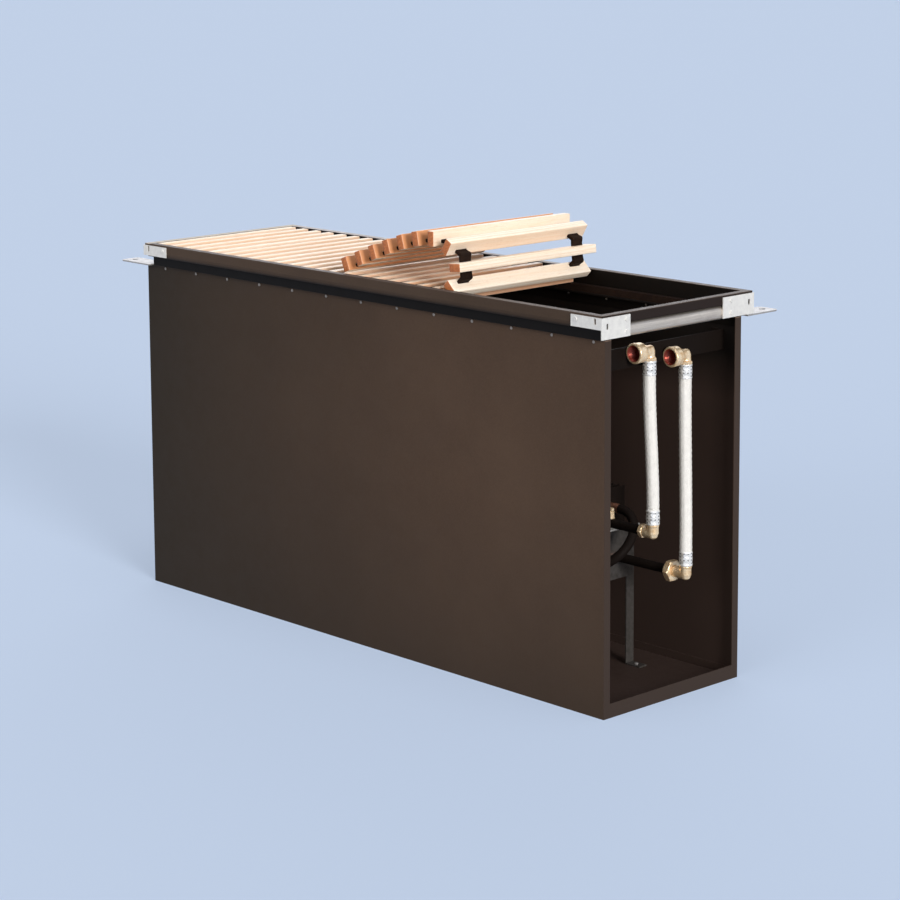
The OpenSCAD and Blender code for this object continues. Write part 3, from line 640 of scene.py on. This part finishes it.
def belt_along(name, stations):
    """Belt through stations (point, side direction, up direction), closed at both ends."""
    section = belt_section()
    n = len(section)
    verts = [tuple(p + side * s + up * u) for p, side, up in stations for s, u in section]
    faces = []
    for i in range(len(stations) - 1):
        for k in range(n):
            m = (k + 1) % n
            faces.append((i * n + k, (i + 1) * n + k, (i + 1) * n + m, i * n + m))
    faces.append(tuple(range(n)))
    faces.append(tuple(reversed(range((len(stations) - 1) * n, len(stations) * n))))
    obj = new_object(name, verts, faces, RUBBER)
    outwards(obj)
    return soften(obj, 40)


def bent_stations(k, side, last):
    """Belt between slat k - 1 and slat k, leaving each slat square to it and bulging out."""
    (c0, r0), (c1, r1) = LINKS[k - 1], LINKS[k]
    y = Vector((0, side * BELT_Y, 0))
    a, b = c0 + r0 @ y, c1 + r1 @ y
    d0, d1 = r0 @ Vector((1, 0, 0)), r1 @ Vector((1, 0, 0))
    y0, y1 = r0 @ Vector((0, 1, 0)), r1 @ Vector((0, 1, 0))
    grip = SLAT_T / 2 - 0.6
    p0, p3 = a + d0 * grip, b - d1 * grip
    reach = (p3 - p0).length * 0.42 + 9.0 * math.radians(BENDS[k - 1])
    p1, p2 = p0 + d0 * reach, p3 - d1 * reach
    steps = 26
    out = [(a, y0, d0.cross(y0))]
    for i in range(steps + 1):
        t = i / steps
        s = 1 - t
        p = p0 * s ** 3 + p1 * (3 * s * s * t) + p2 * (3 * s * t * t) + p3 * t ** 3
        v = (p1 - p0) * (3 * s * s) + (p2 - p1) * (6 * s * t) + (p3 - p2) * (3 * t * t)
        v.normalize()
        sideways = y0.lerp(y1, t)
        sideways = (sideways - v * sideways.dot(v)).normalized()
        out.append((p, sideways, v.cross(sideways) * (1 + min(0.35, 1.6 * t * s))))
    out.append((b + d1 * (SLAT_T / 2 - 0.2 if last else 0), y1, d1.cross(y1)))
    return out, p0, p3


def grille_belts():
    x0, x1 = SLAT_X0 - SLAT_T / 2 + 0.2, LINKS[0][0].x
    across, up = Vector((0, 1, 0)), Vector((0, 0, 1))
    for side, label in ((-1, "front"), (1, "rear")):
        flat = belt_along("rubber_belt_" + label, [
            (Vector((x, side * BELT_Y, BELT_Z)), across, up) for x in (x0, 0, x1)])
        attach(flat, "heater")
        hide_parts("belt_" + label)
        for k in range(1, 11):
            stations, start, end = bent_stations(k, side, k == 10)
            piece = belt_along("rubber_%s_%d" % (label, k), stations)
            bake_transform(piece)
            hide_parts("belt_link_%d" % k)


grille_slats()
grille_belts()

# ---- hoses ----


def hose_centre(kind, t):
    """Point of a hose's middle line, t from 0 at the lower elbow to 1 at the upper one."""
    (y0, z0), (y1, z1) = LOWER[kind], UPPER[kind]
    z0, z1 = z0 + LOWER_LEG, z1 - UPPER_LEG
    z = z0 + (z1 - z0) * t
    s = min(1, max(0, (z - z0 - FERRULE_L) / (z1 - z0 - 2 * FERRULE_L)))
    return Vector((HOSE_X, y0 + (y1 - y0) * s * s * (3 - 2 * s), z))


def pressed(length, t):
    """How far a sleeve presses the braid in, t from 0 to 1 along the hose."""
    inside = FERRULE_L - min(t, 1 - t) * length
    return 0.5 * min(1, max(0, inside / 1.5))


def hose(kind, name):
    """Woven hose: flat strands of five wires that pass over and under each other."""
    length = (hose_centre(kind, 1) - hose_centre(kind, 0)).length
    count, turns = 12, length / 44
    half = 1.95
    steps = int(length / 1.05)
    verts, faces, uvs = [], [], []
    for way in (-1, 1):
        for strand in range(count):
            first = len(verts)
            for i in range(steps + 1):
                t = i / steps
                a = way * 2 * math.pi * (turns * t) + 2 * math.pi * strand / count
                p = hose_centre(kind, t)
                lift = math.cos(count * turns * math.pi * 2 * t + math.pi * strand * way)
                r = HOSE_R - 0.42 + 0.24 * way * lift - pressed(length, t)
                lean = math.atan2(2 * math.pi * HOSE_R * turns, length) * way
                for j in range(5):
                    off = (j / 2 - 1) * half
                    b = a + off * math.cos(lean) / HOSE_R
                    rr = r + 0.17 * (1 - (j / 2 - 1) ** 2)
                    dz = -off * math.sin(lean)
                    verts.append((p.x + rr * math.cos(b), p.y + rr * math.sin(b), p.z + dz))
            for i in range(steps):
                for j in range(4):
                    q = first + i * 5 + j
                    face = (q, q + 1, q + 6, q + 5)
                    faces.append(face)
                    uvs += [(j / 4, i / steps), ((j + 1) / 4, i / steps),
                            ((j + 1) / 4, (i + 1) / steps), (j / 4, (i + 1) / steps)]
    obj = new_object(name, verts, faces, BRAID)
    layer = obj.data.uv_layers.new(name="UVMap")
    layer.data.foreach_set("uv", [c for uv in uvs for c in uv])
    ring, tube, tube_faces = 40, [], []
    rows = 40
    for i in range(rows + 1):
        p = hose_centre(kind, i / rows)
        for j in range(ring):
            a = 2 * math.pi * j / ring
            r = HOSE_R - 0.7 - pressed(length, i / rows)
            tube.append((p.x + r * math.cos(a), p.y + r * math.sin(a), p.z))
    for i in range(rows):
        for j in range(ring):
            m = (j + 1) % ring
            tube_faces.append((i * ring + j, i * ring + m, (i + 1) * ring + m, (i + 1) * ring + j))
    return obj, new_object(name + "_liner", tube, tube_faces, LINER)


def ferrule_radius(r, a, z):
    """Sleeve pressed in eight places round three rings."""
    if r < HOSE_R + 0.3:
        return r
    ring = max(0.0, math.sin(math.pi * (z - 2) / (FERRULE_L - 4) * 3)) if 2 < z < 16 else 0
    pad = abs(math.cos(a * 4)) ** 0.6
    return r - 0.6 * abs(ring) ** 0.7 * pad


def ferrules():
    made = []
    for kind in (0, 1):
        for top in (0, 1):
            (y, z) = (UPPER if top else LOWER)[kind]
            z = z - UPPER_LEG - FERRULE_L if top else z + LOWER_LEG
            outer = [(8.3, 0), (8.6, 0.5)]
            outer += [(8.6, 0.5 + 17 * i / 34) for i in range(1, 34)]
            outer += [(8.6, 17.5), (8.3, 18), (7.9, 18), (7.4, 17.2), (7.4, 0.8), (7.9, 0)]
            made.append(put(lathe("sleeve", outer, SLEEVE, 96, ferrule_radius), (HOSE_X, y, z)))
    obj = join("crimped_sleeves", made)
    return soften(obj, 50)


for kind, name in ((0, "hose_short"), (1, "hose_long")):
    braid, liner = hose(kind, "woven_" + name)
    for piece in (braid, liner):
        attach(piece, "heater")
    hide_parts(name)
SLEEVES = ferrules()
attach(SLEEVES, "heater")
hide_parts("hose_ferrules")

# ---- brass fittings ----


def solid(name, profile, pos=(0, 0, 0), axis="Z", steps=64):
    return put(lathe(name, profile, BRASS, steps), pos, axis)


def fused(name, parts, voxel=0.55, rounds=6):
    """Casting: closed shapes melted into one skin with soft inner corners."""
    obj = join(name, parts)
    obj.data.materials.clear()
    obj.data.materials.append(BRASS)
    modify(obj, "REMESH", mode="VOXEL", voxel_size=voxel * MM, adaptivity=0.0)
    modify(obj, "SMOOTH", factor=0.5, iterations=rounds)
    return obj


def cut(obj, cutter):
    modify(obj, "BOOLEAN", operation="DIFFERENCE", object=cutter, solver="EXACT",
           material_mode="TRANSFER")
    bpy.data.objects.remove(cutter)
    return obj


def thread_profile(radius, depth, length, pitch):
    """Bore outline from its mouth at z = 0 down to -length, as a cutter with thread grooves."""
    points = [(0, 1), (radius + 1.0, 1), (radius + 1.0, 0.05), (radius, -1.0)]
    z = -1.4
    while z - pitch > -length:
        points += [(radius, z), (radius + depth, z - pitch / 2)]
        z -= pitch
    points += [(radius, z), (radius, -length), (0, -length)]
    return points


def upper_elbow(y, z):
    """Cast elbow with a turned socket to -Y, a leg down and a stud to -X."""
    bead = [(0, 0), (6.9, 0), (6.9, 8.5), (7.9, 11.2), (11.6, 15.0), (12.6, 16.6), (12.6, 24.0),
            (13.0, 25.0), (13.0, 27.8), (12.4, 28.7), (11.6, 29), (0, 29)]
    parts = [
        solid("socket", bead, (HOSE_X, y, z), "-Y", 96),
        solid("leg", [(0, -1), (6.9, -1), (6.9, 6.4), (7.3, 7.0), (7.3, 8), (0, 8)],
              (HOSE_X, y, z), "-Z"),
        solid("heel", [(0, -7.2), (2.9, -6.8), (5.2, -5.2), (6.9, 0), (5.2, 5.2), (2.9, 6.8),
                       (0, 7.2)], (HOSE_X, y, z)),
        solid("shoulder", [(0, 0), (6.2, 0), (6.2, 13), (0, 13)], (HOSE_X, y, z), "-X"),
        solid("stud", [(0, 0), (5.0, 0), (5.0, 21.4), (4.4, 22), (0, 22)], (HOSE_X, y, z), "-X"),
    ]
    body = fused("upper_elbow", parts)
    body.data.materials.append(SOCKET)
    bore = lathe("bore", thread_profile(9.3, 0.7, 13, 1.81), SOCKET, 96)
    cut(body, put(bore, (HOSE_X, y - 29, z), "-Y"))
    inner = lathe("inner", [(0, 3), (5.2, 3), (5.2, -24), (0, -24)], SOCKET, 48)
    cut(body, put(inner, (HOSE_X, y - 15, z), "-Y"))
    return soften(body, 40)


def lower_elbow(y, z, back):
    """Cast elbow with a leg up to the hose and one back to the union nut."""
    parts = [
        solid("leg", [(0, -1), (7.4, -1), (7.4, 8), (8.1, 8.6), (8.1, 11), (0, 11)],
              (HOSE_X, y, z)),
        solid("heel", [(0, -7.9), (3.2, -7.4), (5.6, -5.6), (7.6, 0), (5.6, 5.6), (3.2, 7.4),
                       (0, 7.9)], (HOSE_X, y, z)),
        solid("back", [(0, -1), (7.4, -1), (7.4, back - 2), (7.8, back), (0, back)],
              (HOSE_X, y, z), "-X"),
    ]
    return soften(fused("lower_elbow", parts), 40)


def hex_nut(across, length, bore, pos, axis):
    """Hexagon nut with turned chamfers on both faces."""
    half = across / 2
    corner = half / math.cos(math.pi / 6)
    rise = (corner - half) * 0.62
    outline = [(bore, 0.6), (bore + 0.6, 0), (half - 0.4, 0), (half + 0.3, rise * 0.3),
               (corner, rise)]
    outline += [(corner, length * s) for s in (0.35, 0.5, 0.65)]
    outline += [(corner, length - rise), (half + 0.3, length - rise * 0.3), (half - 0.4, length),
                (bore + 0.6, length), (bore, length - 0.6)]

    def flats(r, a, z):
        third = math.pi / 3
        off = (a + third / 2) % third - third / 2
        return min(r, half / math.cos(off))

    return put(lathe("nut", outline, BRASS, 120, flats), pos, axis)


def fittings():
    """All brass pieces at the hoses' ends, each set on the node that it stands for."""
    nuts = [((16, 6), LOWER[0], 16), ((25, 9), LOWER[1], 23)]
    pieces = {
        "upper_elbows": [upper_elbow(y, z) for y, z in UPPER],
        "lower_elbows": [lower_elbow(*LOWER[0], 13), lower_elbow(*LOWER[1], 18.5)],
        "collar_nuts": [hex_nut(15, 4, 5.5, (HOSE_X, y, z - UPPER_LEG), "Z") for y, z in UPPER],
        "union_nuts": [hex_nut(af, l, TUBE_R, (HOSE_X - back - l / 2, y, z), "X")
                       for (af, l), (y, z), back in nuts],
        "stud_nuts": [hex_nut(14, 5, 5.0, (416, y, z), "X") for y, z in UPPER],
    }
    for node, made in pieces.items():
        obj = soften(join("brass_" + node, made), 28)
        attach(obj, "heater")
        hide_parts(node)


def vent():
    """Vent boss on the return pipe and its screw, which has a slotted hexagon head."""
    y, z = LOWER[0]
    z += TUBE_R - 7.5
    boss = put(lathe("brass_vent_body", [
        (2.56, 7.4), (5.0, 7.4), (5.0, 9.0), (4.6, 9.6), (4.6, 14.6), (5.0, 15.2), (5.0, 16.0),
        (4.5, 16.5), (2.9, 16.5), (2.56, 16.1)], BRASS, 64), (VENT_X, y, z))
    soften(boss)
    screw = hex_nut(7, 4, 0.01, (VENT_X, y, z + VENT_SEAT), "Z")
    shank = put(lathe("shank", [(0, 9.5), (2.3, 9.5), (2.5, 9.9), (2.5, 17), (0, 17)], BRASS, 32),
                (VENT_X, y, z))
    head = join("brass_vent_screw", [screw, shank])
    slot = box_mesh("slot", (1.1, 9, 3), (VENT_X, y, z + VENT_SEAT + 4), BRASS)
    cut(head, slot)
    soften(head)
    for obj, body, node in ((boss, "heater", "vent_body"), (head, "vent", "vent_screw")):
        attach(obj, body)
        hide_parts(node)


fittings()
vent()

# ---- floor and light ----


def surroundings():
    """Pale floor that runs on to the horizon, and soft light from the right, above and behind."""
    pale = srgb(197, 213, 238)
    g = Graph("floor")
    half = tuple(c * 0.5 for c in pale)
    rays = g.node("LightPath").outputs
    shown = g.math("MAXIMUM", rays["Is Camera Ray"], rays["Is Glossy Ray"])
    g.finish(Base_Color=g.mix(shown, (0.2, 0.17, 0.14), half), Roughness=0.9,
             Specular_IOR_Level=0.0, Emission_Color=pale,
             Emission_Strength=g.math("MULTIPLY", shown, 0.5))
    mesh = bpy.data.meshes.new("floor")
    s = FLOOR_HALF
    mesh.from_pydata([(-s, -s, 0), (s, -s, 0), (s, s, 0), (-s, s, 0)], [], [(0, 1, 2, 3)])
    mesh.materials.append(g.mat)
    floor = bpy.data.objects.new("floor", mesh)
    bpy.context.scene.collection.objects.link(floor)

    world = bpy.data.worlds.new("world")
    world.use_nodes = True
    bpy.context.scene.world = world
    t = world.node_tree
    t.nodes.clear()
    out = t.nodes.new("ShaderNodeOutputWorld")
    seen = t.nodes.new("ShaderNodeBackground")
    seen.inputs[0].default_value = (*pale, 1)
    light = t.nodes.new("ShaderNodeBackground")
    light.inputs[0].default_value = (1.0, 0.985, 0.96, 1)
    light.inputs[1].default_value = 0.26
    rays = t.nodes.new("ShaderNodeLightPath")
    either = t.nodes.new("ShaderNodeMath")
    either.operation = "MAXIMUM"
    t.links.new(rays.outputs["Is Camera Ray"], either.inputs[0])
    t.links.new(rays.outputs["Is Glossy Ray"], either.inputs[1])
    mix = t.nodes.new("ShaderNodeMixShader")
    t.links.new(either.outputs[0], mix.inputs[0])
    t.links.new(light.outputs[0], mix.inputs[1])
    t.links.new(seen.outputs[0], mix.inputs[2])
    t.links.new(mix.outputs[0], out.inputs[0])

    def sun(name, azimuth, elevation, strength, angle, colour):
        data = bpy.data.lights.new(name, "SUN")
        data.energy = strength
        data.angle = math.radians(angle)
        data.color = colour
        obj = bpy.data.objects.new(name, data)
        obj.rotation_mode = "QUATERNION"
        obj.rotation_quaternion = direction(azimuth, elevation).to_track_quat("Z", "Y")
        bpy.context.scene.collection.objects.link(obj)

    sun("key", 74, 16, 2.75, 20, (1.0, 0.985, 0.955))
    sun("top", 60, 78, 0.78, 40, (1.0, 0.985, 0.955))
    sun("fill", 0, 15, 1.1, 40, (1.0, 0.965, 0.92))
    sun("rear", 225, 9, 1.3, 60, (1.0, 0.97, 0.93))


surroundings()
bpy.context.scene.view_settings.view_transform = "Standard"
